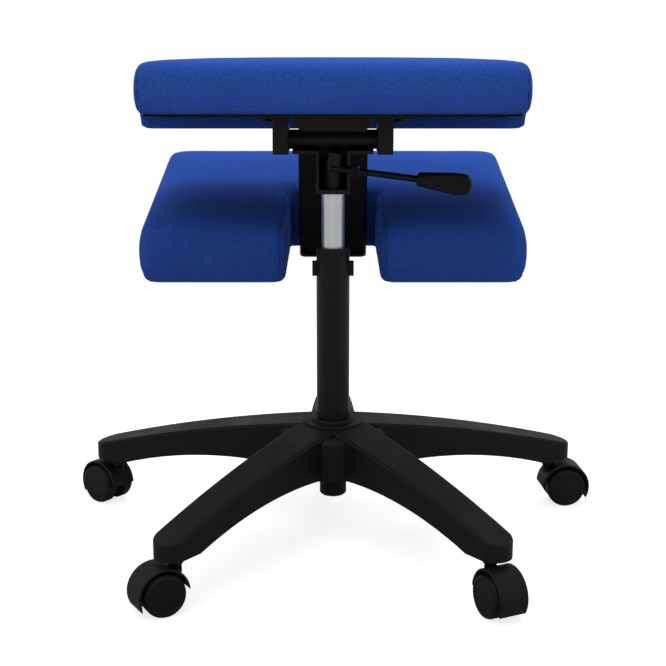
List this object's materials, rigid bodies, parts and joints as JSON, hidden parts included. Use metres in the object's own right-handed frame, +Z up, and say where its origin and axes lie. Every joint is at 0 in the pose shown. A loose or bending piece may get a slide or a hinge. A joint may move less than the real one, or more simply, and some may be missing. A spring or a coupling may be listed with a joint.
{
  "type": "kneeling chair",
  "caption": "Kneeling chair: forward-sloping seat and notched knee pad on a gas lift with a side lever, over a five-leg base with hooded twin-wheel casters.",
  "frame": {"origin": "on the floor, under the axis of the gas lift", "axes": "+Z up along the column, +Y to the front where the sitter looks, +X to the sitter's right"},
  "size_m": [0.6673, 0.6429, 0.5942],
  "materials": {
    "base_nylon": "satin moulded nylon",
    "caster_plastic": "smooth moulded plastic",
    "wheel_plastic": "satin moulded plastic",
    "black_steel": "black powder coat",
    "black_plastic": "satin",
    "chrome": "polished",
    "steel": "zinc plated",
    "aluminium": "turned",
    "brass": "turned",
    "blue_fabric": "woven upholstery over foam",
    "black_cloth": "non-woven dust cover",
    "plywood": "plain"
  },
  "bodies": {
    "base": {"star_base": "base_nylon", "hub_sleeve": "steel", "column_tube": "black_steel", "guide_bush": "black_plastic", "bearing_race_lower": "steel", "caster_stems": "steel", "stem_grip_rings": "steel"},
    "swivel": {"piston_rod": "chrome", "rod_piston": "aluminium", "bearing_balls": "chrome", "bearing_race_upper": "steel", "rod_clip": "steel"},
    "lift": {"gas_cylinder": "chrome", "cylinder_gland": "brass", "socket_housing": "black_steel", "taper_sleeve": "black_steel", "mechanism_plate": "black_steel", "cross_tube": "black_steel", "pivot_bushes": "black_plastic", "lever_pin": "steel", "knee_arm": "black_steel", "knee_foot": "black_steel", "knee_board": "plywood", "knee_dust_cover": "black_cloth", "knee_cushion": "blue_fabric", "knee_bolts": "black_steel"},
    "lever": {"lever_rod": "black_steel", "lever_grip": "black_plastic"},
    "release": {"release_pin": "steel"},
    "seat": {"seat_bracket_left": "black_steel", "seat_bracket_right": "black_steel", "seat_channel": "black_steel", "seat_board": "plywood", "seat_dust_cover": "black_cloth", "seat_cushion": "blue_fabric", "seat_screws": "black_steel", "pivot_bolt": "black_steel", "pivot_nut": "black_steel", "pivot_washers": "black_plastic"},
    "caster_1": {"caster_hood_1": "caster_plastic", "caster_axle_1": "steel"},
    "wheel_1_left": {"caster_wheel_1_left": "wheel_plastic"},
    "wheel_1_right": {"caster_wheel_1_right": "wheel_plastic"},
    "caster_2": {"caster_hood_2": "caster_plastic", "caster_axle_2": "steel"},
    "wheel_2_left": {"caster_wheel_2_left": "wheel_plastic"},
    "wheel_2_right": {"caster_wheel_2_right": "wheel_plastic"},
    "caster_3": {"caster_hood_3": "caster_plastic", "caster_axle_3": "steel"},
    "wheel_3_left": {"caster_wheel_3_left": "wheel_plastic"},
    "wheel_3_right": {"caster_wheel_3_right": "wheel_plastic"},
    "caster_4": {"caster_hood_4": "caster_plastic", "caster_axle_4": "steel"},
    "wheel_4_left": {"caster_wheel_4_left": "wheel_plastic"},
    "wheel_4_right": {"caster_wheel_4_right": "wheel_plastic"},
    "caster_5": {"caster_hood_5": "caster_plastic", "caster_axle_5": "steel"},
    "wheel_5_left": {"caster_wheel_5_left": "wheel_plastic"},
    "wheel_5_right": {"caster_wheel_5_right": "wheel_plastic"}
  },
  "joints": [
    {"name": "seat_swivel", "type": "hinge", "parent": "base", "child": "swivel", "pos_m": [0, 0, 0.06], "axis": [0, 0, 1], "continuous": true},
    {"name": "seat_height", "type": "slide", "parent": "swivel", "child": "lift", "axis": [0, 0, 1], "range_m": [-0.06, 0.055]},
    {"name": "seat_tilt", "type": "hinge", "parent": "lift", "child": "seat", "pos_m": [0, -0.008, 0.4915], "axis": [1, 0, 0], "range_deg": [-4, 8]},
    {"name": "height_lever", "type": "hinge", "parent": "lift", "child": "lever", "pos_m": [0.026, -0.03, 0.457], "axis": [0, -1, 0], "range_deg": [0, 9], "stiffness_Nm_per_rad": 1.2, "springref_deg": -6.88},
    {"name": "release_press", "type": "slide", "parent": "lift", "child": "release", "axis": [0, 0, 1], "range_m": [-0.0042, 0]},
    {"name": "caster_swivel_1", "type": "hinge", "parent": "base", "child": "caster_1", "pos_m": [0.28151, 0.09147, 0.045], "axis": [0, 0, 1], "continuous": true},
    {"name": "wheel_spin_1_left", "type": "hinge", "parent": "caster_1", "child": "wheel_1_left", "pos_m": [0.30236, 0.09403, 0.025], "axis": [-0.1219, 0.9925, 0], "continuous": true},
    {"name": "wheel_spin_1_right", "type": "hinge", "parent": "caster_1", "child": "wheel_1_right", "pos_m": [0.30236, 0.09403, 0.025], "axis": [-0.1219, 0.9925, 0], "continuous": true},
    {"name": "caster_swivel_2", "type": "hinge", "parent": "base", "child": "caster_2", "pos_m": [0, 0.296, 0.045], "axis": [0, 0, 1], "continuous": true},
    {"name": "wheel_spin_2_left", "type": "hinge", "parent": "caster_2", "child": "wheel_2_left", "pos_m": [-0.0105, 0.31419, 0.025], "axis": [-0.866, -0.5, 0], "continuous": true},
    {"name": "wheel_spin_2_right", "type": "hinge", "parent": "caster_2", "child": "wheel_2_right", "pos_m": [-0.0105, 0.31419, 0.025], "axis": [-0.866, -0.5, 0], "continuous": true},
    {"name": "caster_swivel_3", "type": "hinge", "parent": "base", "child": "caster_3", "pos_m": [-0.28151, 0.09147, 0.045], "axis": [0, 0, 1], "continuous": true},
    {"name": "wheel_spin_3_left", "type": "hinge", "parent": "caster_3", "child": "wheel_3_left", "pos_m": [-0.2976, 0.10497, 0.025], "axis": [-0.6428, -0.766, 0], "continuous": true},
    {"name": "wheel_spin_3_right", "type": "hinge", "parent": "caster_3", "child": "wheel_3_right", "pos_m": [-0.2976, 0.10497, 0.025], "axis": [-0.6428, -0.766, 0], "continuous": true},
    {"name": "caster_swivel_4", "type": "hinge", "parent": "base", "child": "caster_4", "pos_m": [-0.17398, -0.23947, 0.045], "axis": [0, 0, 1], "continuous": true},
    {"name": "wheel_spin_4_left", "type": "hinge", "parent": "caster_4", "child": "wheel_4_left", "pos_m": [-0.19217, -0.24997, 0.025], "axis": [0.5, -0.866, 0], "continuous": true},
    {"name": "wheel_spin_4_right", "type": "hinge", "parent": "caster_4", "child": "wheel_4_right", "pos_m": [-0.19217, -0.24997, 0.025], "axis": [0.5, -0.866, 0], "continuous": true},
    {"name": "caster_swivel_5", "type": "hinge", "parent": "base", "child": "caster_5", "pos_m": [0.17398, -0.23947, 0.045], "axis": [0, 0, 1], "continuous": true},
    {"name": "wheel_spin_5_left", "type": "hinge", "parent": "caster_5", "child": "wheel_5_left", "pos_m": [0.18319, -0.25834, 0.025], "axis": [0.8988, 0.4384, 0], "continuous": true},
    {"name": "wheel_spin_5_right", "type": "hinge", "parent": "caster_5", "child": "wheel_5_right", "pos_m": [0.18319, -0.25834, 0.025], "axis": [0.8988, 0.4384, 0], "continuous": true}
  ],
  "couplings": [
    {"joint": "release_press", "follows": "height_lever", "m_per_rad": -0.026}
  ]
}
